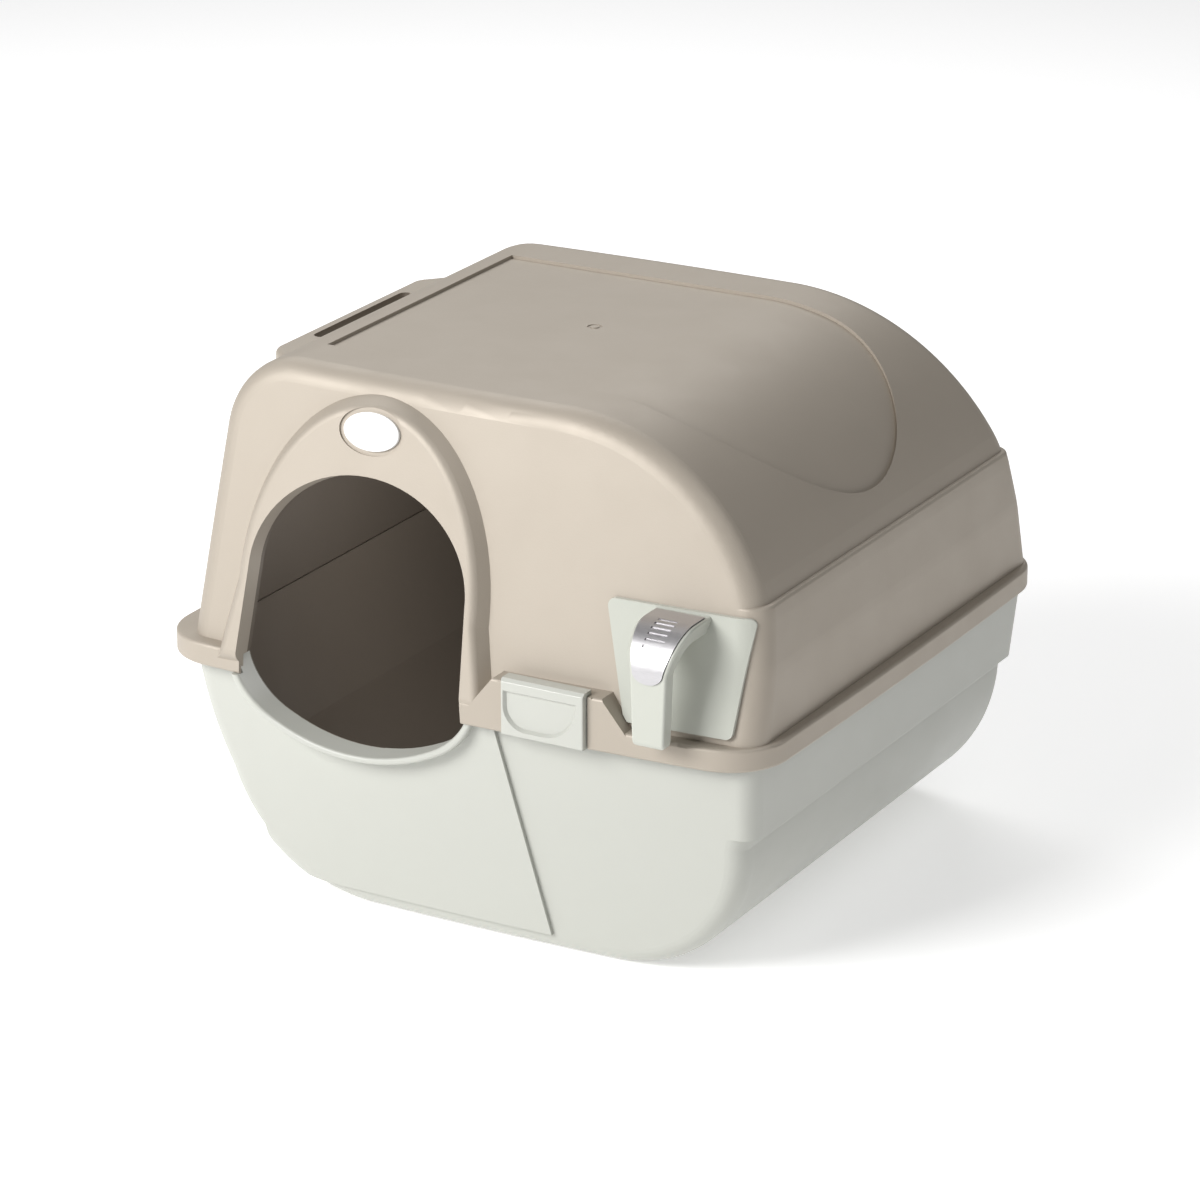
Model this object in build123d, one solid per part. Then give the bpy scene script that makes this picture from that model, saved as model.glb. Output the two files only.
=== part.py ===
from build123d import *
import os
from math import atan, cos, degrees, radians, sin, sqrt, tan

os.makedirs("parts", exist_ok=True)

# All lengths in millimetres. X runs along the front, Y to the rear, Z up.
# The origin is the middle of the flat rest face under the base.

# Rim of the hood, the widest outline of the box
rim_width = 495.0
rim_depth = 482.0
rim_corner = 45.0
rim_front_bow = 10.0
rim_side_bow = 3.0
rim_bottom = 175.0
rim_height = 17.0
rim_edge = 2.4
rim_top = rim_bottom + rim_height

# Moulded walls and clearances
wall = 3.0
seat_gap = 0.3
slide_gap = 0.4

# Hood profile seen from the front
hood_top = 394.0
hood_left_foot = 22.0 - rim_width / 2
shoulder_radius = 58.0
shoulder_x = -156.0
round_radius = 182.0
round_x = rim_width / 2 - 187.5
ridge_z = 284.0
hood_right_foot = rim_width / 2 - 12.0
hood_right_middle = rim_width / 2 - 14.5
band_step = 4.0
ridge_round = 2.5
foot_half_depth = rim_depth / 2 - 12.0
front_lean = 13.2
hood_edge_radius = 18.0

# Recessed panel on top and over the round side
panel_left = -158.0
panel_half_depth = 130.0
panel_round_x = round_x + 49.0
panel_end_x = round_x + 153.5
panel_depth = 2.5
gate_x = -17.0
gate_y = 8.0
gate_radius = 5.5

# Carrying ledge with its slot
ledge_left = hood_left_foot + 1.5
ledge_half_length = 98.0
ledge_foot_half_length = 136.0
ledge_thickness = 16.0
slot_x = ledge_left + 15.0
slot_length = 128.0
slot_width = 11.0

# Arched entry
arch_x = -77.0
arch_inner_half = 89.0
arch_inner_spring = 62.0
arch_inner_rise = 78.0
arch_outer_half = 103.0
arch_outer_spring = 51.0
arch_outer_rise = 145.0
arch_proud = 12.0
arch_side_angle = 32.0
pad_back = -foot_half_depth - 1.6

# Base
base_top = rim_top - wall - seat_gap
base_floor_half_depth = foot_half_depth - 25.0
base_lean = 7.8
base_edge_radius = 15.0
base_left_top = hood_left_foot + 3.5
base_left_radius = 118.0
base_left_x = base_left_top + 136.5
base_right_top = rim_width / 2 - 11.5
base_right_radius = 110.0
base_right_x = base_right_top - 123.0
base_band_z = 119.0
base_band_step = 6.0

# Sill of the entry in the base
sill_half = 98.0
sill_bottom_z = 132.0
sill_band = 5.0
sill_reach = 8.5
sill_round = 2.2

# Clips
clip_left = 50.0
clip_right = 116.0
clip_thickness = 6.5
clip_round = 1.2
clip_face = rim_depth / 2 + 2.5
clip_bottom = 175.5
clip_top = 217.0
hill_top = 214.0
hill_slope = 20.0
pin_radius = 1.5
pin_clearance = 0.06
pin_z = 178.8
pin_y = clip_face - 7.6
barrel_radius = 3.2
lug_width = 8.0

# Waste tray
tray_top_right = hood_right_foot - 14.5
tray_top_left = tray_top_right - 98.5
tray_bottom_left = tray_top_right - 78.0
tray_bottom_right = tray_top_right - 6.0
tray_top = 273.0
tray_bottom = 202.0
tray_rear = 165.0
tray_wall = 2.4
plate_margin = 5.0
plate_thickness = 3.8
plate_corner = 5.0

# Handle of the tray
handle_x = tray_top_right - 47.0
handle_root_width = 46.0
handle_stem_width = 28.0
handle_front = foot_half_depth + 29.5
handle_bottom = 193.5
handle_top = 276.5
handle_bar = 12.0
handle_round = 1.8
handle_tip = 9.0
handle_knee = 248.0
handle_bend = 32.0
handle_root_y = 30.0 - foot_half_depth
grip_root_y = 17.0 - foot_half_depth
grip_length = 36.0
grip_end = 9.0
grip_grooves = 6

# Screen
screen_foot_x = tray_top_left - 9.5
screen_foot_z = 286.0
screen_head_x = screen_foot_x - 67.0
screen_thickness = 2.6
screen_slot_width = 8.0
screen_slot_pitch = 14.0

badge_z = 362.0
badge_depth = 1.6


def arc_sag(radius, half_chord):
    return radius - sqrt(radius**2 - half_chord**2)


def bow_radius():
    half = rim_width / 2
    return (half**2 + rim_front_bow**2) / (2 * rim_front_bow)


def rim_plan(inset):
    half_x = rim_width / 2 - inset
    half_y = rim_depth / 2 - inset
    corner_x = half_x - rim_side_bow
    corner_y = half_y - rim_front_bow
    front = ThreePointArc((-corner_x, -corner_y), (0, -half_y), (corner_x, -corner_y))
    right = ThreePointArc((corner_x, -corner_y), (half_x, 0), (corner_x, corner_y))
    rear = ThreePointArc((corner_x, corner_y), (0, half_y), (-corner_x, corner_y))
    left = ThreePointArc((-corner_x, corner_y), (-half_x, 0), (-corner_x, -corner_y))
    outline = make_face([front, right, rear, left])
    return fillet(outline.vertices(), rim_corner - inset)


def rim_block(inset, low, high, edge=0.0):
    block = extrude(Pos(0, 0, low) * rim_plan(inset), high - low)
    if edge > 0:
        block = fillet(block.edges().group_by(Axis.Z)[0] + block.edges().group_by(Axis.Z)[-1], edge)
    return block


def bowed_block(half_depth, low, height, taper):
    # A wide block whose front and rear faces are bowed and lean with the taper.
    half_x = 380.0
    edge_y = half_depth - arc_sag(bow_radius(), half_x)
    front = ThreePointArc((-half_x, -edge_y), (0, -half_depth), (half_x, -edge_y))
    rear = ThreePointArc((half_x, edge_y), (0, half_depth), (-half_x, edge_y))
    right = Line((half_x, -edge_y), (half_x, edge_y))
    left = Line((-half_x, edge_y), (-half_x, -edge_y))
    outline = make_face([front, right, rear, left])
    return extrude(Pos(0, 0, low) * outline, height, taper=taper)


def rolled_edges(body, low, radius):
    # Rounds the long edges where the front and rear faces meet the wrapped skin.
    picked = []
    for edge in body.edges():
        middle = edge.center()
        box = edge.bounding_box()
        if box.min.Z > low - 0.01 and box.max.Y - box.min.Y < 120 and abs(middle.Y) > 120:
            if box.max.Z > low + 1:
                picked.append(edge)
    return fillet(picked, radius)


def hood_profile(grow):
    shoulder_z = hood_top - shoulder_radius
    turn = radians(176)
    shoulder_end = (shoulder_x + shoulder_radius * cos(turn), shoulder_z + shoulder_radius * sin(turn))
    halfway = radians(133)
    shoulder_mid = (shoulder_x + shoulder_radius * cos(halfway), shoulder_z + shoulder_radius * sin(halfway))
    low = rim_bottom - 25
    left = TangentArc([shoulder_end, (hood_left_foot, low)], tangent=(-sin(turn), cos(turn)))
    shoulder = ThreePointArc((shoulder_x, hood_top), shoulder_mid, shoulder_end)
    top = Line((round_x, hood_top), (shoulder_x, hood_top))
    round_z = hood_top - round_radius
    ridge_x = round_x + sqrt(round_radius**2 - (ridge_z - round_z)**2)
    mid_x = round_x + round_radius * sin(radians(33))
    mid_z = round_z + round_radius * cos(radians(33))
    side = ThreePointArc((ridge_x, ridge_z), (mid_x, mid_z), (round_x, hood_top))
    lower = Line((hood_right_middle, 240.0), (ridge_x, ridge_z))
    foot = Line((hood_right_foot, low), (hood_right_middle, 240.0))
    bottom = Line((hood_left_foot, low), (hood_right_foot, low))
    face = make_face([left, shoulder, top, side, lower, foot, bottom])
    soft = []
    for corner in face.vertices():
        if corner.X > 220 and corner.Y > low + 10:
            soft.append(corner)
    face = fillet(soft, 70)
    if grow != 0:
        face = offset(face, grow, kind=Kind.INTERSECTION)
    return face


def hood_form(inset, side_grow=0.0):
    low = rim_bottom - 25
    lean = tan(radians(front_lean))
    depth_low = foot_half_depth + (rim_top - low) * lean - inset / cos(radians(front_lean))
    skin = extrude(Plane.XZ * hood_profile(side_grow - inset), 320, both=True)
    ends = bowed_block(depth_low + 10 * lean, low - 10, 300, front_lean)
    body = skin & ends
    body = rolled_edges(body, low, hood_edge_radius - inset)
    keep = Pos(0, 0, rim_bottom + 150) * Box(700, 700, 300)
    return body & keep


def trapezoid(grow):
    face = Polygon(
        (tray_bottom_left, tray_bottom),
        (tray_bottom_right, tray_bottom),
        (tray_top_right, tray_top),
        (tray_top_left, tray_top),
        align=None,
    )
    if grow != 0:
        face = offset(face, grow, kind=Kind.INTERSECTION)
    return face


def slab_xz(face, y_from, y_to):
    # Extrudes an outline drawn in X and Z between two Y positions.
    middle = (y_from + y_to) / 2
    return Pos(0, middle, 0) * extrude(Plane.XZ * face, (y_to - y_from) / 2, both=True)


def portal_plane(offset_out):
    lean = radians(front_lean)
    normal = (0, -cos(lean), sin(lean))
    y = -foot_half_depth - offset_out * cos(lean)
    z = rim_top + offset_out * sin(lean)
    return Plane(origin=(arch_x, y, z), x_dir=(1, 0, 0), z_dir=normal)


def arch_face(half, spring, rise, foot_half, foot_drop, grow):
    right = Line((foot_half + grow, -foot_drop), (half + grow, spring))
    left = Line((-half - grow, spring), (-foot_half - grow, -foot_drop))
    arch = EllipticalCenterArc((0, spring), half + grow, rise + grow, start_angle=0, arc_size=180)
    bottom = Line((-foot_half - grow, -foot_drop), (foot_half + grow, -foot_drop))
    return make_face([right, arch, left, bottom])


def panel_prism(grow):
    # Plan outline of the recessed panel: straight at the left, round at the right.
    half = panel_half_depth + grow
    left_x = panel_left - grow
    reach = panel_end_x - panel_round_x + grow
    end = EllipticalCenterArc((panel_round_x, 0), reach, half, start_angle=-90, arc_size=180)
    rear = Line((panel_round_x, half), (left_x, half))
    side = Line((left_x, half), (left_x, -half))
    front = Line((left_x, -half), (panel_round_x, -half))
    return extrude(Pos(0, 0, 260) * make_face([end, rear, side, front]), 200)


def hill_outline(grow):
    left = clip_left - 8
    right = clip_right + 11
    face = Polygon(
        (left - hill_slope, rim_top - wall),
        (right + hill_slope, rim_top - wall),
        (right, hill_top),
        (left, hill_top),
        align=None,
    )
    if grow != 0:
        face = offset(face, grow, kind=Kind.INTERSECTION)
    return face


def badge_place():
    plane = portal_plane(arch_proud)
    height = (badge_z - plane.origin.Z) / cos(radians(front_lean))
    return plane, height


def make_hood():
    outer = hood_form(0)
    inner = hood_form(wall)
    # The lower right side stands out as a band under the ridge.
    band = hood_form(0, band_step) & Pos(250, 0, ridge_z - 100) * Box(200, 600, 200)
    top_edges = []
    for edge in band.edges():
        if edge.bounding_box().min.Z > ridge_z - 0.01 and edge.bounding_box().max.X > 151:
            top_edges.append(edge)
    band = fillet(top_edges, ridge_round)
    band_inner = hood_form(wall, band_step) & Pos(250, 0, ridge_z - 100 - wall) * Box(200, 600, 200)
    shell = (outer + band) - inner - band_inner
    shell = shell - Pos(0, 0, rim_top - wall - 25) * Box(700, 700, 50)

    # Recessed panel, with its own wall behind it.
    sunk = outer - hood_form(panel_depth)
    backing = hood_form(panel_depth) - hood_form(panel_depth + wall)
    shell = shell - (sunk & panel_prism(0)) + (backing & panel_prism(wall))

    gate_mark = Pos(gate_x, gate_y, hood_top - panel_depth)
    shell = shell - gate_mark * Cylinder(gate_radius, 1.4)
    shell = shell + gate_mark * Pos(0, 0, -0.7) * Cylinder(gate_radius - 2.2, 1.6)

    # Carrying ledge along the left shoulder.
    ledge_plan = Polygon(
        (ledge_left, -ledge_half_length),
        (ledge_left, ledge_half_length),
        (-190, ledge_foot_half_length),
        (-170, ledge_foot_half_length),
        (-170, -ledge_foot_half_length),
        (-190, -ledge_foot_half_length),
        align=None,
    )
    ledge_plan = fillet(ledge_plan.vertices().sort_by(Axis.X)[:2], 14)
    ledge_top = hood_top - 4
    ledge = extrude(Pos(0, 0, ledge_top - ledge_thickness) * ledge_plan, ledge_thickness)
    top_edges = ledge.edges().group_by(Axis.Z)[-1]
    ledge = fillet(top_edges, 5)
    slot_face = Rot(0, 0, 90) * SlotOverall(slot_length, slot_width)
    slot = extrude(Pos(slot_x, 0, ledge_top - 40) * slot_face, 80)
    shell = shell + (ledge - outer)
    shell = shell - slot

    # Flat rim that laps over the edge of the base.
    rim = rim_block(0, rim_bottom, rim_top, rim_edge) - rim_block(wall, rim_bottom - 1, rim_top - wall)
    for_inner = (inner + band_inner)
    rim = rim - for_inner

    # Raised rim over each clip.
    raised = []
    for side in (-1, 1):
        near = min(side * 205, side * 250)
        far = max(side * 205, side * 250)
        solid = slab_xz(hill_outline(0), near, far) & rim_block(0, rim_top - 6, hill_top, rim_edge)
        under_hill = slab_xz(Pos(0, -wall) * hill_outline(-wall), near, far)
        hollow = slab_xz(hill_outline(-wall), near, far) + under_hill
        hollow = hollow & rim_block(wall, rim_top - 8, hill_top + 5)
        solid = solid - outer
        raised.append(solid - hollow)
    hood = shell + rim + raised[0] + raised[1]

    # Proud arch around the entry.
    arch_start = 10.0
    slope = tan(radians(arch_side_angle))
    pad_foot = arch_outer_half + 13
    pad_face = arch_face(arch_outer_half, arch_outer_spring, arch_outer_rise, pad_foot, 18, arch_start * slope)
    pad_plane = portal_plane(-arch_start)
    pad = extrude(pad_plane * pad_face, arch_start + arch_proud, taper=arch_side_angle)
    front_rim_edges = []
    for edge in pad.edges():
        out = (edge.center().Y + foot_half_depth) * -cos(radians(front_lean))
        out += (edge.center().Z - rim_top) * sin(radians(front_lean))
        if out > arch_proud - 1:
            front_rim_edges.append(edge)
    pad = fillet(front_rim_edges, 7)
    pad = pad & Pos(0, 0, rim_bottom + 150) * Box(700, 700, 300)
    pad = pad - Pos(arch_x, pad_back + 50, rim_top - wall - 25) * Box(300, 100, 50)
    hood = hood + (pad - inner)
    hole_face = arch_face(arch_inner_half, arch_inner_spring, arch_inner_rise, arch_inner_half + 5.5, 40, 0)
    hole = extrude(portal_plane(-60) * hole_face, 140)
    hood = hood - hole
    badge_plane, badge_height = badge_place()
    hood = hood - extrude(badge_plane * Pos(0, badge_height, -badge_depth) * Ellipse(26.5, 17.0), 10)

    # Window of the waste tray and the ledge its right side runs on.
    window = slab_xz(trapezoid(slide_gap + 0.6), -260, -150)
    hood = hood - window
    runner = Pos(tray_bottom_right + 5, -15, tray_bottom - slide_gap - 1.25) * Box(40, 380, 2.5)
    runner = runner & (hood_form(wall / 2) + hood_form(wall / 2, band_step))
    hood = hood + runner
    # Recess of each clip with a closed back.
    for side in (-1, 1):
        back_y = side * (clip_face - clip_thickness - 0.5)
        middle_x = (clip_left + clip_right) / 2
        cut = Pos(middle_x, back_y + side * 15, 200) * Box(clip_right - clip_left + 1.0, 30, 90)
        back = Pos(middle_x, back_y - side * wall / 2, 0) * Pos(0, 0, (184 + hill_top) / 2) * Box(
            clip_right - clip_left + 7, wall, hill_top - 184
        )
        low_room = Pos(middle_x, side * (clip_face - 3.5), 176) * Box(clip_right - clip_left + 1.0, 24, 16)
        hood = hood - cut - low_room
        hood = hood + (back - inner)
        for end_x in (clip_left - 0.5 - wall / 2, clip_right + 0.5 + wall / 2):
            cheek = Pos(end_x, side * (clip_face - 6.5), 199) * Box(wall, 7, 30)
            hood = hood + (cheek & rim_block(0, rim_bottom, hill_top) & slab_xz(hill_outline(0), -260, 260))
        bevel_width = clip_right - clip_left + 1.0
        chamfer_box = Pos(middle_x, back_y, hill_top) * Rot(45, 0, 0) * Box(bevel_width, 7, 7)
        hood = hood - chamfer_box
    return hood


def make_badge():
    plane, height = badge_place()
    disc = extrude(plane * Pos(0, height, -badge_depth + 0.2) * Ellipse(22.5, 13.6), 2.4)
    return fillet(disc.edges().sort_by(Axis.Y)[:1], 0.8)


def base_profile(grow):
    top = base_top
    low = radians(14)
    middle = radians(52)
    meet = (base_left_x - base_left_radius * cos(low), base_left_radius - base_left_radius * sin(low))
    mid = (base_left_x - base_left_radius * cos(middle), base_left_radius - base_left_radius * sin(middle))
    left_round = ThreePointArc(meet, mid, (base_left_x, 0))
    left_wall = ThreePointArc((base_left_top, top), (base_left_top + 7.5, 132), meet)
    floor = Line((base_left_x, 0), (base_right_x, 0))
    turn = radians(50)
    right_mid = (base_right_x + base_right_radius * sin(turn), base_right_radius * (1 - cos(turn)))
    right_end = (base_right_x + base_right_radius, base_right_radius)
    right_round = ThreePointArc((base_right_x, 0), right_mid, right_end)
    lower = Line(right_end, (base_right_top - base_band_step - 4.5, base_band_z))
    rest = Line((base_right_top - base_band_step - 4.5, base_band_z), (base_right_top - base_band_step, top))
    lid = Line((base_right_top - base_band_step, top), (base_left_top, top))
    face = make_face([left_wall, left_round, floor, right_round, lower, rest, lid])
    if grow != 0:
        face = offset(face, grow, kind=Kind.INTERSECTION)
    return face


def base_form(inset, side_grow=0.0):
    lean = tan(radians(base_lean))
    depth_low = base_floor_half_depth - inset / cos(radians(base_lean))
    skin = extrude(Plane.XZ * base_profile(side_grow - inset), 320, both=True)
    ends = bowed_block(depth_low - 40 * lean, -40, 300, -base_lean)
    body = skin & ends
    picked = []
    for edge in body.edges():
        box = edge.bounding_box()
        if box.max.Y - box.min.Y < 120 and abs(edge.center().Y) > 120 and box.min.Z < base_top - inset - 2:
            picked.append(edge)
    return fillet(picked, base_edge_radius - inset)


def sill_face(grow):
    rise = rim_top - sill_bottom_z
    low = -grow
    half = sill_half + grow
    floor = ThreePointArc((-62 - grow * 0.4, 14 + low), (0, low), (62 + grow * 0.4, 14 + low))
    start = (62 + grow * 0.4, 14 + low)
    right = Spline([start, (half - 9, 35 + low * 0.6), (half, rise)], tangents=[(0.92, 0.4), (0.05, 1)])
    left = Spline([(-start[0], start[1]), (-half + 9, 35 + low * 0.6), (-half, rise)],
                  tangents=[(-0.92, 0.4), (-0.05, 1)])
    lid = Line((-half, rise), (half, rise))
    return make_face([floor, right, lid, left])


def make_base():
    outer = base_form(0)
    inner = base_form(wall)
    upper = Pos(0, 0, base_top + 40) * Box(700, 700, 80)
    # The upper band on the right side, proud of the rounded shell.
    band_room = Pos(250, 0, base_band_z + 100) * Box(200, 600, 200)
    band = base_form(0, base_band_step) & band_room
    band_inner = base_form(wall, base_band_step) & Pos(0, 0, wall) * band_room
    shell = (outer + band) - inner - band_inner
    # Open top
    mouth = extrude(inner.faces().sort_by(Axis.Z)[-1], 2 * wall, dir=(0, 0, 1))
    band_mouth = extrude(band_inner.faces().sort_by(Axis.Z)[-1], 2 * wall, dir=(0, 0, 1))
    shell = shell - mouth - band_mouth - upper
    # Panel under the entry, slightly proud, its right side slanting out to the floor.
    apron_face = Polygon(
        (arch_x - 95, base_top - 2.7),
        (arch_x + 111, base_top - 2.7),
        (arch_x + 147, 14),
        (arch_x - 91, 14),
        align=None,
    )
    apron = (base_form(-3.0) - outer) & slab_xz(apron_face, -260, -150)
    shell = shell + apron
    # The corners stay inside the rim of the hood.
    rim_zone = Pos(0, 0, rim_bottom + 20) * Box(700, 700, 44)
    shell = shell - (rim_zone - rim_block(wall + 0.6, rim_bottom - 5, rim_top + 40))
    # Lip that carries the hood all round.
    lip = rim_block(wall + 0.6, base_top - wall, base_top)
    lip = lip - inner - mouth
    skirt = rim_block(wall + 0.6, base_top - 9, base_top)
    skirt = skirt - rim_block(wall + 0.6 + 2.2, base_top - 10, base_top + 1)
    shell = shell + lip + skirt
    # Opening of the entry with its rolled sill.
    reach_front = foot_half_depth + sill_reach
    sill_cut = slab_xz(Pos(arch_x, sill_bottom_z) * sill_face(0), -300, -150)
    sill_body = slab_xz(Pos(arch_x, sill_bottom_z) * sill_face(sill_band), -reach_front, -foot_half_depth + 14)
    sill_ring = sill_body - sill_cut
    lip_edges = []
    for edge in sill_ring.edges():
        box = edge.bounding_box()
        if box.max.Y < -reach_front + 0.01 and box.min.Z < base_top - 2:
            lip_edges.append(edge)
    sill_ring = fillet(lip_edges, sill_round)
    shell = shell - sill_cut
    shell = shell + (sill_ring & Pos(0, 0, base_top / 2) * Box(700, 700, base_top))
    # The foot of the arch on the hood comes down in front of the wall.
    foot_room = Pos(arch_x, pad_back + 0.4 - 20, rim_bottom - 0.4 + 25) * Box(262, 40, 50)
    shell = shell - foot_room
    # Each clip turns on a pin held by two lugs.
    middle_x = (clip_left + clip_right) / 2
    room_width = clip_right - clip_left + 8
    for side in (-1, 1):
        room = Pos(middle_x, side * (clip_face - 0.9), base_top - 10) * Box(room_width, 20, 40)
        shell = shell - room
        for lug_x in lug_positions():
            lug = Pos(lug_x, side * (pin_y - 7), pin_z) * Box(lug_width, 14, 2 * barrel_radius)
            lug = lug + Pos(lug_x, side * pin_y, pin_z) * Rot(0, 90, 0) * Cylinder(barrel_radius, lug_width)
            shell = shell + (lug - inner)
        pin = Pos(middle_x, side * pin_y, pin_z) * Rot(0, 90, 0) * Cylinder(pin_radius, clip_right - clip_left - 6)
        shell = shell + pin
    return shell


def lug_positions():
    middle_x = (clip_left + clip_right) / 2
    return (middle_x - 12, middle_x + 12)


def make_clip(side):
    # Side view in Y and Z for the front clip; the rear clip is its mirror image.
    back = -(clip_face - clip_thickness)
    front = -clip_face
    reach = back + 5.2
    outline = Polygon(
        (front, clip_bottom),
        (back + 0.5, clip_bottom),
        (back, hill_top - 4.9),
        (reach, hill_top + 0.3),
        (reach, clip_top),
        (front + 2.5, clip_top),
        (front, clip_top - 2.5),
        align=None,
    )
    width = clip_right - clip_left - 0.8
    plate = extrude(Plane.YZ * outline, width / 2, both=True)
    plate = plate + Pos(0, -pin_y, pin_z) * Rot(0, 90, 0) * Cylinder(barrel_radius, width - 4)
    for lug_x in lug_positions():
        shift = lug_x - (clip_left + clip_right) / 2
        plate = plate - Pos(shift, 3.9 - pin_y, pin_z) * Box(lug_width + 1.0, 15.5, 2 * barrel_radius + 4)
    plate = plate - Pos(0, -pin_y, pin_z) * Rot(0, 90, 0) * Cylinder(pin_radius + pin_clearance, width + 2)
    # Hollow for the finger, straight at the top and rounded below.
    border = []
    for edge in plate.edges():
        box = edge.bounding_box()
        at_side = box.max.X > width / 2 - 0.1 or box.min.X < 0.1 - width / 2
        if at_side and box.max.Y < front + 0.01:
            border.append(edge)
    plate = fillet(border, clip_round)
    hollow_face = Rectangle(54, 25)
    corners = hollow_face.vertices().sort_by(Axis.Y)
    hollow_face = fillet(corners[:2].sort_by(Axis.X)[1:], 24)
    hollow_face = fillet(hollow_face.vertices().sort_by(Axis.Y)[:2].sort_by(Axis.X)[:1], 16)
    hollow_plane = Plane(origin=(-2, front + 2.6, 194), x_dir=(1, 0, 0), z_dir=(0, -1, 0))
    hollow = extrude(hollow_plane * hollow_face, 8, taper=-35)
    plate = plate - hollow
    plate = Pos((clip_left + clip_right) / 2, 0, 0) * plate
    if side > 0:
        plate = mirror(plate, about=Plane.XZ)
    return plate


def make_screen():
    run_x = screen_head_x - screen_foot_x
    head_z = hood_top + 10
    run_z = head_z - screen_foot_z
    length = sqrt(run_x**2 + run_z**2)
    plane = Plane(
        origin=(screen_foot_x, 0, screen_foot_z),
        x_dir=(0, 1, 0),
        z_dir=(run_z / length, 0, -run_x / length),
    )
    grid = extrude(plane * Pos(0, length / 2, 0) * Rectangle(430, length), screen_thickness)
    count = 23
    slot_length = length - 40
    slots = []
    for index in range(count):
        across = (index - (count - 1) / 2) * screen_slot_pitch
        slot_face = Pos(across, length / 2 - 6) * Rot(0, 0, 90) * SlotOverall(slot_length, screen_slot_width)
        slots.append(extrude(plane * Pos(0, 0, -2) * slot_face, screen_thickness + 4))
    grid = grid - slots
    # Cradle along the left side and under the left edge of the tray.
    slope = (tray_bottom_left - tray_top_left) / (tray_top - tray_bottom)
    side_gap = 1.2
    inner_top_x = tray_top_left - side_gap - slope * (screen_foot_z + 4 - tray_top)
    inner_low_x = tray_bottom_left - side_gap + slope * slide_gap
    low_z = tray_bottom - slide_gap - 2.5
    cradle_face = Polygon(
        (inner_top_x - 2.5, screen_foot_z + 4),
        (inner_top_x, screen_foot_z + 4),
        (inner_low_x, tray_bottom - slide_gap),
        (tray_bottom_left + 17, tray_bottom - slide_gap),
        (tray_bottom_left + 17, low_z),
        (inner_low_x - 2.5, low_z),
        align=None,
    )
    cradle = slab_xz(cradle_face, -235, 235)
    screen = (grid + cradle) & hood_form(wall + seat_gap)
    head_limit = hood_top - panel_depth - wall - seat_gap
    return screen & Pos(0, 0, head_limit - 150) * Box(700, 700, 300)


def make_tray():
    tub = slab_xz(trapezoid(0), -260, tray_rear) & hood_form(-1.0)
    lid_room = Polygon(
        (tray_bottom_left + tray_wall, tray_bottom + tray_wall),
        (tray_bottom_right - tray_wall, tray_bottom + tray_wall),
        (tray_top_right - tray_wall, tray_top + 1),
        (tray_top_left + tray_wall, tray_top + 1),
        align=None,
    )
    hollow = slab_xz(lid_room, -260, tray_rear - tray_wall) & hood_form(wall - 0.5)
    plate_face = trapezoid(plate_margin)
    plate_face = fillet(plate_face.vertices(), plate_corner)
    plate = (hood_form(-plate_thickness) - hood_form(-0.5)) & slab_xz(plate_face, -260, -150)
    plate = plate - (hood_form(-0.5, band_step) & Pos(250, 0, ridge_z - 100 + 0.5) * Box(200, 600, 200))
    plate = plate - slab_xz(hill_outline(2 * slide_gap), -260, -150)
    tray = (tub - hollow) + plate
    return tray


def handle_curve(depth):
    # Outer line of the handle from the plate over the bend and down, at a depth under its skin.
    front = -handle_front + depth
    top = handle_top - depth
    centre_y = -handle_front + handle_bend
    centre_z = handle_top - handle_bend
    half = (handle_bend - depth) * sin(radians(45))
    return [
        Line((handle_root_y, top), (centre_y, top)),
        ThreePointArc((centre_y, top), (centre_y - half, centre_z + half), (front, centre_z)),
        Line((front, centre_z), (front, handle_bottom + 6)),
    ]


def handle_side():
    # Side view of the handle in Y and Z.
    outer = handle_curve(0)
    inner = handle_curve(handle_bar)
    tip_front = -handle_front
    tip_back = tip_front + handle_bar
    tip_middle = tip_front + handle_bar / 2
    tip = ThreePointArc((tip_front, handle_bottom + 6), (tip_middle, handle_bottom), (tip_back, handle_bottom + 6))
    root = Line((handle_root_y, handle_top), (handle_root_y, handle_top - handle_bar))
    return make_face(outer + inner + [tip, root])


def make_handle():
    side = extrude(Plane.YZ * handle_side(), 300, both=True)
    half_tip = handle_stem_width / 2 - 2
    front_view = Polygon(
        (handle_x - half_tip, handle_bottom),
        (handle_x + half_tip, handle_bottom),
        (handle_x + handle_stem_width / 2, handle_knee),
        (handle_x + handle_root_width / 2, handle_top + 5),
        (handle_x - handle_root_width / 2, handle_top + 5),
        (handle_x - handle_stem_width / 2, handle_knee),
        align=None,
    )
    bar = side & slab_xz(front_view, -300, -150)
    long_edges = []
    for edge in bar.edges():
        box = edge.bounding_box()
        if box.max.Y - box.min.Y + box.max.Z - box.min.Z > 8:
            long_edges.append(edge)
    bar = fillet(long_edges, handle_round)
    # The lower end is round when seen from the front.
    spare = 0.05
    tip_view = Polygon(
        (handle_x - half_tip - spare, handle_bottom - spare / 5),
        (handle_x + half_tip + spare, handle_bottom - spare / 5),
        (handle_x + handle_root_width, handle_top + 5),
        (handle_x - handle_root_width, handle_top + 5),
        align=None,
    )
    tip_view = fillet(tip_view.vertices().sort_by(Axis.Y)[:2], handle_tip)
    bar = bar & slab_xz(tip_view, -300, -150)
    bar = bar - hood_form(-plate_thickness - seat_gap)
    return bar - grip_band(3, 2.0, 3.0, 0)


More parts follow.
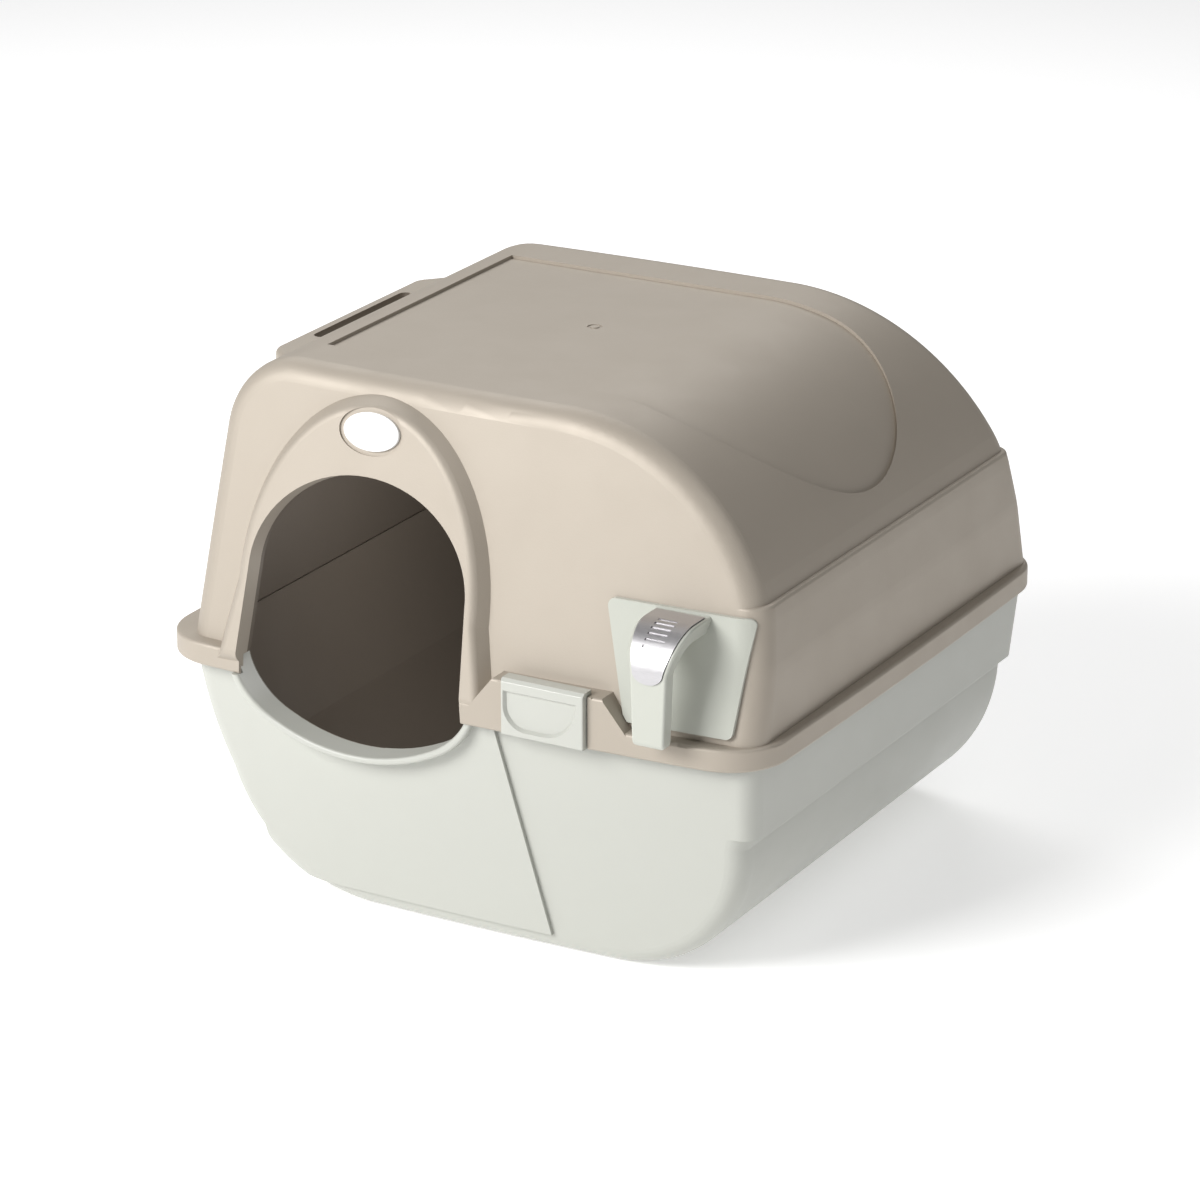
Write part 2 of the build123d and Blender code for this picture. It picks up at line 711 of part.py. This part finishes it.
def under_curve(depth):
    # Everything behind the outer line of the handle, as a wide block.
    low = 150.0
    curve = handle_curve(depth)
    front = -handle_front + depth
    closing = [
        Line((front, handle_bottom + 6), (front, low)),
        Line((front, low), (handle_root_y, low)),
        Line((handle_root_y, low), (handle_root_y, handle_top - depth)),
    ]
    return extrude(Plane.YZ * make_face(curve + closing), 300, both=True)


def grip_band(out, inward, side_inset, shrink):
    # The cover follows the outer line from near the plate to a round end on the stem.
    band = under_curve(-out) - under_curve(inward)
    half_low = handle_stem_width / 2 + 1 - side_inset
    half_top = handle_root_width / 2 - side_inset
    low = handle_top - grip_length + grip_end
    face = Polygon(
        (handle_x - half_low, low),
        (handle_x + half_low, low),
        (handle_x + half_top, handle_top + 5),
        (handle_x - half_top, handle_top + 5),
        align=None,
    )
    face = face + Pos(handle_x, low) * Ellipse(half_low, grip_end - shrink)
    return band & slab_xz(face, -300, grip_root_y - shrink)


def make_grip():
    grip = grip_band(1.0, 1.7, 3.3, 0.3)
    centre_y = -handle_front + handle_bend
    centre_z = handle_top - handle_bend
    for index in range(grip_grooves):
        angle = radians(6 + index * 9)
        reach = handle_bend + 1.0
        spot = Pos(handle_x, centre_y - reach * sin(angle), centre_z + reach * cos(angle))
        grip = grip - spot * Rot(degrees(angle), 0, 0) * Box(15, 2.0, 2.0)
    return grip


def save(name, shape):
    print(name, shape.is_valid, len(shape.solids()), shape.bounding_box(), flush=True)
    export_step(shape, "parts/" + name + ".step")


save("base", make_base())
save("hood", make_hood())
save("badge", make_badge())
save("sifting_screen", make_screen())
save("waste_tray", make_tray())
save("tray_handle", make_handle())
save("handle_grip", make_grip())
save("front_clip", make_clip(-1))
save("rear_clip", make_clip(1))
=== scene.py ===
import math

import bmesh
import bpy
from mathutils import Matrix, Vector

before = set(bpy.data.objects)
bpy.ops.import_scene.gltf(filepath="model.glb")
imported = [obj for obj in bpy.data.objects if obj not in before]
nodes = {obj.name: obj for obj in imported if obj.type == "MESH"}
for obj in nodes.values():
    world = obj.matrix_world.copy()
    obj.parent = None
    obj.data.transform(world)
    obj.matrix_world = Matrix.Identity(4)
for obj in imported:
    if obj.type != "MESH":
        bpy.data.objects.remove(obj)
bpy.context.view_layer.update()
print("frame loaded")


# Helpers for materials

noiseLow, noiseHigh = 0.3, 0.7  # most values of a noise field lie between these


def newMaterial(name):
    material = bpy.data.materials.new(name)
    material.use_nodes = True
    tree = material.node_tree
    shader = tree.nodes["Principled BSDF"]
    return material, tree, shader


def place(tree, kind, x, y, **values):
    node = tree.nodes.new(kind)
    node.location = (x, y)
    for key, value in values.items():
        setattr(node, key, value)
    return node


def objectPoints(tree):
    return place(tree, "ShaderNodeTexCoord", -1400, 0).outputs["Object"]


def noiseField(tree, points, scale, detail, x, y):
    noise = place(tree, "ShaderNodeTexNoise", x, y)
    noise.inputs["Scale"].default_value = scale
    noise.inputs["Detail"].default_value = detail
    tree.links.new(points, noise.inputs["Vector"])
    return noise.outputs["Fac"]


def spread(tree, value, low, high, x, y):
    # Maps a noise value to a narrow range of roughness
    remap = place(tree, "ShaderNodeMapRange", x, y)
    remap.inputs["From Min"].default_value = noiseLow
    remap.inputs["From Max"].default_value = noiseHigh
    remap.inputs["To Min"].default_value = low
    remap.inputs["To Max"].default_value = high
    tree.links.new(value, remap.inputs["Value"])
    return remap.outputs["Result"]


def blendColours(tree, factor, x, y):
    # A colour mix; its two colours are inputs 6 and 7, its result is output 2
    mix = place(tree, "ShaderNodeMix", x, y, data_type="RGBA")
    tree.links.new(factor, mix.inputs["Factor"])
    return mix, mix.inputs[6], mix.inputs[7]


def twoTone(tree, value, dark, light, x, y):
    mix, first, second = blendColours(tree, value, x, y)
    first.default_value = (*dark, 1)
    second.default_value = (*light, 1)
    return mix.outputs[2]


def number(tree, operation, first, second, x, y):
    # One step of arithmetic; each side is a fixed number or another step's output
    step = place(tree, "ShaderNodeMath", x, y, operation=operation)
    for index, side in enumerate((first, second)):
        if isinstance(side, (int, float)):
            step.inputs[index].default_value = side
        else:
            tree.links.new(side, step.inputs[index])
    return step.outputs[0]


def overshoot(tree, value, limit, x, y):
    # How far a coordinate lies past a limit, and 0 before it
    past = number(tree, "SUBTRACT", value, limit, x, y)
    return number(tree, "MAXIMUM", past, 0, x + 200, y)


def paintedShadeMask(tree, shadeInside):
    # Painted shade mask: 1 on the faces that look into the box, which are painted dark brown to stand
    # in for the shade in there, 0 outside
    where = place(tree, "ShaderNodeTexCoord", -2600, 900)
    spot = place(tree, "ShaderNodeSeparateXYZ", -2400, 600)
    tree.links.new(where.outputs["Object"], spot.inputs[0])
    turned = place(tree, "ShaderNodeSeparateXYZ", -2400, 400)
    tree.links.new(where.outputs["Normal"], turned.inputs[0])

    # Turned towards the middle of the box
    arm = place(tree, "ShaderNodeVectorMath", -2400, 900, operation="SUBTRACT")
    tree.links.new(where.outputs["Object"], arm.inputs[0])
    arm.inputs[1].default_value = shadeInside["middle"]
    facing = place(tree, "ShaderNodeVectorMath", -2200, 900, operation="DOT_PRODUCT")
    tree.links.new(arm.outputs[0], facing.inputs[0])
    tree.links.new(where.outputs["Normal"], facing.inputs[1])
    inward = number(tree, "LESS_THAN", facing.outputs["Value"], -shadeInside["depth"], -2000, 900)

    # Near enough to the axis of the round side, so that steps in the outer skin stay outside
    aside = overshoot(tree, spot.outputs[0], shadeInside["roundX"], -2200, 700)
    above = overshoot(tree, spot.outputs[2], shadeInside["roundZ"], -2200, 550)
    asideSquare = number(tree, "MULTIPLY", aside, aside, -1800, 700)
    aboveSquare = number(tree, "MULTIPLY", above, above, -1800, 550)
    reach = number(tree, "ADD", asideSquare, aboveSquare, -1600, 650)
    under = number(tree, "LESS_THAN", reach, shadeInside["roundReach"] ** 2, -1400, 650)

    # Behind the front wall, or on its back
    front = number(tree, "MULTIPLY_ADD", spot.outputs[2], shadeInside["lean"], -2200, 300)
    front.node.inputs[2].default_value = shadeInside["frontY"]
    behind = number(tree, "GREATER_THAN", spot.outputs[1], front, -1900, 300)
    backOfWall = number(tree, "GREATER_THAN", turned.outputs[1], shadeInside["backTurn"], -1900, 150)
    past = number(tree, "MAXIMUM", behind, backOfWall, -1700, 250)
    inner = number(tree, "MULTIPLY", inward, under, -1300, 800)
    walls = number(tree, "MULTIPLY", inner, past, -1100, 700)

    # Painted shade: the narrow top edge that the hood covers is painted dark brown, so the gap between
    # the two parts shows as a shaded line
    upward = number(tree, "GREATER_THAN", turned.outputs[2], shadeInside["edgeTurn"], -1900, 0)
    high = number(tree, "GREATER_THAN", spot.outputs[2], shadeInside["edgeZ"], -1900, -150)
    onEdge = number(tree, "MULTIPLY", upward, high, -1700, -50)
    edge = number(tree, "MULTIPLY", onEdge, behind, -1500, 0)
    return number(tree, "MAXIMUM", walls, edge, -900, 600)


def mouldedPlastic(name, look, shadeInside=None):
    # Injection moulded plastic: faint tone drift, fine texture, soft coat of gloss
    material, tree, shader = newMaterial(name)
    points = objectPoints(tree)
    drift = noiseField(tree, points, look["driftScale"], look["driftDetail"], -1100, 300)
    tone = twoTone(tree, drift, look["dark"], look["light"], -800, 300)
    # Painted shade: where the mask is 1, a dark brown shade tone takes the place of the plastic's own
    # tone
    if shadeInside:
        shade, outer, inner = blendColours(tree, paintedShadeMask(tree, shadeInside), -500, 400)
        tree.links.new(tone, outer)
        inner.default_value = (*shadeInside["tone"], 1)
        tone = shade.outputs[2]
    tree.links.new(tone, shader.inputs["Base Color"])
    haze = noiseField(tree, points, look["hazeScale"], look["hazeDetail"], -1100, 0)
    rough = spread(tree, haze, look["roughLow"], look["roughHigh"], -800, 0)
    tree.links.new(rough, shader.inputs["Roughness"])
    grain = noiseField(tree, points, look["grainScale"], look["grainDetail"], -1100, -300)
    bump = place(tree, "ShaderNodeBump", -500, -300)
    bump.inputs["Strength"].default_value = look["grainStrength"]
    bump.inputs["Distance"].default_value = look["grainDepth"]
    tree.links.new(grain, bump.inputs["Height"])
    tree.links.new(bump.outputs["Normal"], shader.inputs["Normal"])
    shader.inputs["IOR"].default_value = 1.5
    shader.inputs["Metallic"].default_value = look["pearl"]
    shader.inputs["Coat Weight"].default_value = look["coat"]
    shader.inputs["Coat Roughness"].default_value = look["coatRough"]
    return material


def brushedMetal(name, look):
    # Satin metal with fine lines along its length
    material, tree, shader = newMaterial(name)
    points = objectPoints(tree)
    stretch = place(tree, "ShaderNodeMapping", -1250, 0)
    stretch.inputs["Scale"].default_value = look["brush"]
    tree.links.new(points, stretch.inputs["Vector"])
    lines = noiseField(tree, stretch.outputs["Vector"], look["lineScale"], look["lineDetail"], -1050, 0)
    tone = twoTone(tree, lines, look["dark"], look["light"], -800, 300)
    tree.links.new(tone, shader.inputs["Base Color"])
    rough = spread(tree, lines, look["roughLow"], look["roughHigh"], -800, 0)
    tree.links.new(rough, shader.inputs["Roughness"])
    shader.inputs["Metallic"].default_value = look["metal"]
    return material


def dress(name, material):
    piece = nodes[name]
    if not piece.data.materials:
        piece.data.materials.append(material)
    for seat in piece.material_slots:
        seat.material = material


# Hood: warm grey outside, with dark brown painted shade on the faces inside

rimTop = 0.192
hoodFootY = -0.229  # front of the hood where it meets the rim
hoodLean = math.tan(math.radians(13.2))
wallMargin = 0.0036  # a little more than the wall

boxPaintedShade = {
    "middle": (0, 0, 0.19),
    "depth": 0.05,
    "roundX": 0.06,
    "roundZ": 0.212,
    "roundReach": 0.1792,
    "backTurn": 0.7,
    "edgeTurn": 0.9,
    "edgeZ": 9,  # far above the hood, so it has no dark edge
    # Painted shade: the dark brown given to the faces inside the box in place of the pale plastic
    "tone": (0.150, 0.125, 0.100),
}
hoodPaintedShade = dict(boxPaintedShade, lean=hoodLean, frontY=hoodFootY + wallMargin - rimTop * hoodLean)
hoodLook = {
    "dark": (0.375, 0.330, 0.275),
    "light": (0.395, 0.350, 0.294),
    "driftScale": 9,
    "driftDetail": 3,
    "hazeScale": 30,
    "hazeDetail": 4,
    "roughLow": 0.50,
    "roughHigh": 0.58,
    "grainScale": 900,
    "grainDetail": 2,
    "grainStrength": 0.10,
    "grainDepth": 0.0006,
    "coat": 0.04,
    "coatRough": 0.45,
    "pearl": 0.25,
}
dress("hood", mouldedPlastic("warmGreyHood", hoodLook, hoodPaintedShade))

screenLook = dict(hoodLook, dark=(0.075, 0.060, 0.047), light=(0.088, 0.070, 0.055))
dress("sifting_screen", mouldedPlastic("screenPlastic", screenLook))
print("hood and screen finished")


# Base, clips and tray: pale greenish white

# Painted shade inside the base: its inner faces, and the top edge that the hood covers, are painted
# dark brown
basePaintedShade = dict(boxPaintedShade, lean=0, frontY=-0.2158, roundReach=1, edgeZ=0.184)
baseLook = {
    "dark": (0.432, 0.437, 0.398),
    "light": (0.447, 0.452, 0.413),
    "driftScale": 7,
    "driftDetail": 3,
    "hazeScale": 26,
    "hazeDetail": 4,
    "roughLow": 0.36,
    "roughHigh": 0.44,
    "grainScale": 1000,
    "grainDetail": 2,
    "grainStrength": 0.08,
    "grainDepth": 0.0005,
    "coat": 0.12,
    "coatRough": 0.30,
    "pearl": 0,
}
clipLook = dict(baseLook, roughLow=0.30, roughHigh=0.36, coat=0.25, coatRough=0.18)
trayLook = dict(clipLook, dark=(0.445, 0.455, 0.405), light=(0.460, 0.470, 0.420))
dress("base", mouldedPlastic("paleBase", baseLook, basePaintedShade))
clipPlastic = mouldedPlastic("paleClip", clipLook)
dress("front_clip", clipPlastic)
dress("rear_clip", clipPlastic)
trayPlastic = mouldedPlastic("paleTray", trayLook)
dress("waste_tray", trayPlastic)
dress("tray_handle", trayPlastic)
print("base, clips and tray finished")


# Silver cover on the handle, and the white badge

gripLook = {
    "dark": (0.43, 0.42, 0.43),
    "light": (0.56, 0.55, 0.56),
    "brush": (1, 12, 12),
    "lineScale": 220,
    "lineDetail": 3,
    "roughLow": 0.36,
    "roughHigh": 0.46,
    "metal": 0.9,
}
dress("handle_grip", brushedMetal("satinSilver", gripLook))

badgeLook = dict(clipLook, dark=(0.86, 0.86, 0.86), light=(0.90, 0.90, 0.90),
                 roughLow=0.16, roughHigh=0.2, coat=0.4, coatRough=0.08)
dress("badge", mouldedPlastic("bareBadge", badgeLook))
print("cover and badge finished")


# Floor, lights and camera

studio = {
    "floorSize": 60,
    "floorShade": (0.95, 0.95, 0.95),
    "floorRough": 0.9,
    "floorGlow": 0.36,
    "worldLight": 0.20,
    "aim": (0, 0, 0.2),
    "keyLight": {"power": 122, "size": (1.8, 1.4), "place": (-1.25, -2.6, 1.85)},
    "topLight": {"power": 28, "size": (2.2, 1.4), "place": (-1.1, 1.7, 2.3)},
    "fillLight": {"power": 16, "size": (2.0, 2.0), "place": (1.7, -0.1, 2.7)},
    "insideLamp": {"power": 0.9, "radius": 0.08, "place": (-0.03, -0.02, 0.24)},
}
photoView = {
    "place": (1.628, -2.902, 1.421),
    "turn": (69.641, 0, 29.414),  # degrees
    "sensor": 36,
    "lens": 144.88,
    "farthest": 200,
}


def makeFloor():
    sheet = bmesh.new()
    bmesh.ops.create_grid(sheet, x_segments=1, y_segments=1, size=studio["floorSize"] / 2)
    mesh = bpy.data.meshes.new("floor")
    sheet.to_mesh(mesh)
    sheet.free()
    floor = bpy.data.objects.new("floor", mesh)
    bpy.context.scene.collection.objects.link(floor)
    material, tree, shader = newMaterial("paleFloor")
    shader.inputs["Base Color"].default_value = (*studio["floorShade"], 1)
    shader.inputs["Roughness"].default_value = studio["floorRough"]
    shader.inputs["Emission Color"].default_value = (1, 1, 1, 1)
    shader.inputs["Emission Strength"].default_value = studio["floorGlow"]
    mesh.materials.append(material)


def areaLight(name, values):
    data = bpy.data.lights.new(name, "AREA")
    data.energy = values["power"]
    data.shape = "RECTANGLE"
    data.size, data.size_y = values["size"]
    lamp = bpy.data.objects.new(name, data)
    lamp.location = values["place"]
    towards = Vector(studio["aim"]) - Vector(values["place"])
    lamp.rotation_euler = towards.to_track_quat("-Z", "Y").to_euler()
    bpy.context.scene.collection.objects.link(lamp)


def pointLight(name, values):
    data = bpy.data.lights.new(name, "POINT")
    data.energy = values["power"]
    data.shadow_soft_size = values["radius"]
    lamp = bpy.data.objects.new(name, data)
    lamp.location = values["place"]
    bpy.context.scene.collection.objects.link(lamp)


def makeLights():
    for name in ("keyLight", "topLight", "fillLight"):
        areaLight(name, studio[name])
    # The point lamp lifts the walls behind the entry, which are painted with dark brown shade
    pointLight("insideLamp", studio["insideLamp"])  # lifts the brown walls behind the entry
    world = bpy.data.worlds.new("studio")
    bpy.context.scene.world = world
    world.use_nodes = True
    background = world.node_tree.nodes["Background"]
    background.inputs["Color"].default_value = (1, 1, 1, 1)
    background.inputs["Strength"].default_value = studio["worldLight"]


def makeCamera():
    data = bpy.data.cameras.new("photoCamera")
    data.sensor_width = photoView["sensor"]
    data.lens = photoView["lens"]
    data.clip_end = photoView["farthest"]
    camera = bpy.data.objects.new("photoCamera", data)
    camera.location = photoView["place"]
    camera.rotation_euler = [math.radians(angle) for angle in photoView["turn"]]
    bpy.context.scene.collection.objects.link(camera)
    bpy.context.scene.camera = camera


makeFloor()
makeLights()
makeCamera()
bpy.context.scene.view_settings.view_transform = "Standard"
print("studio ready")
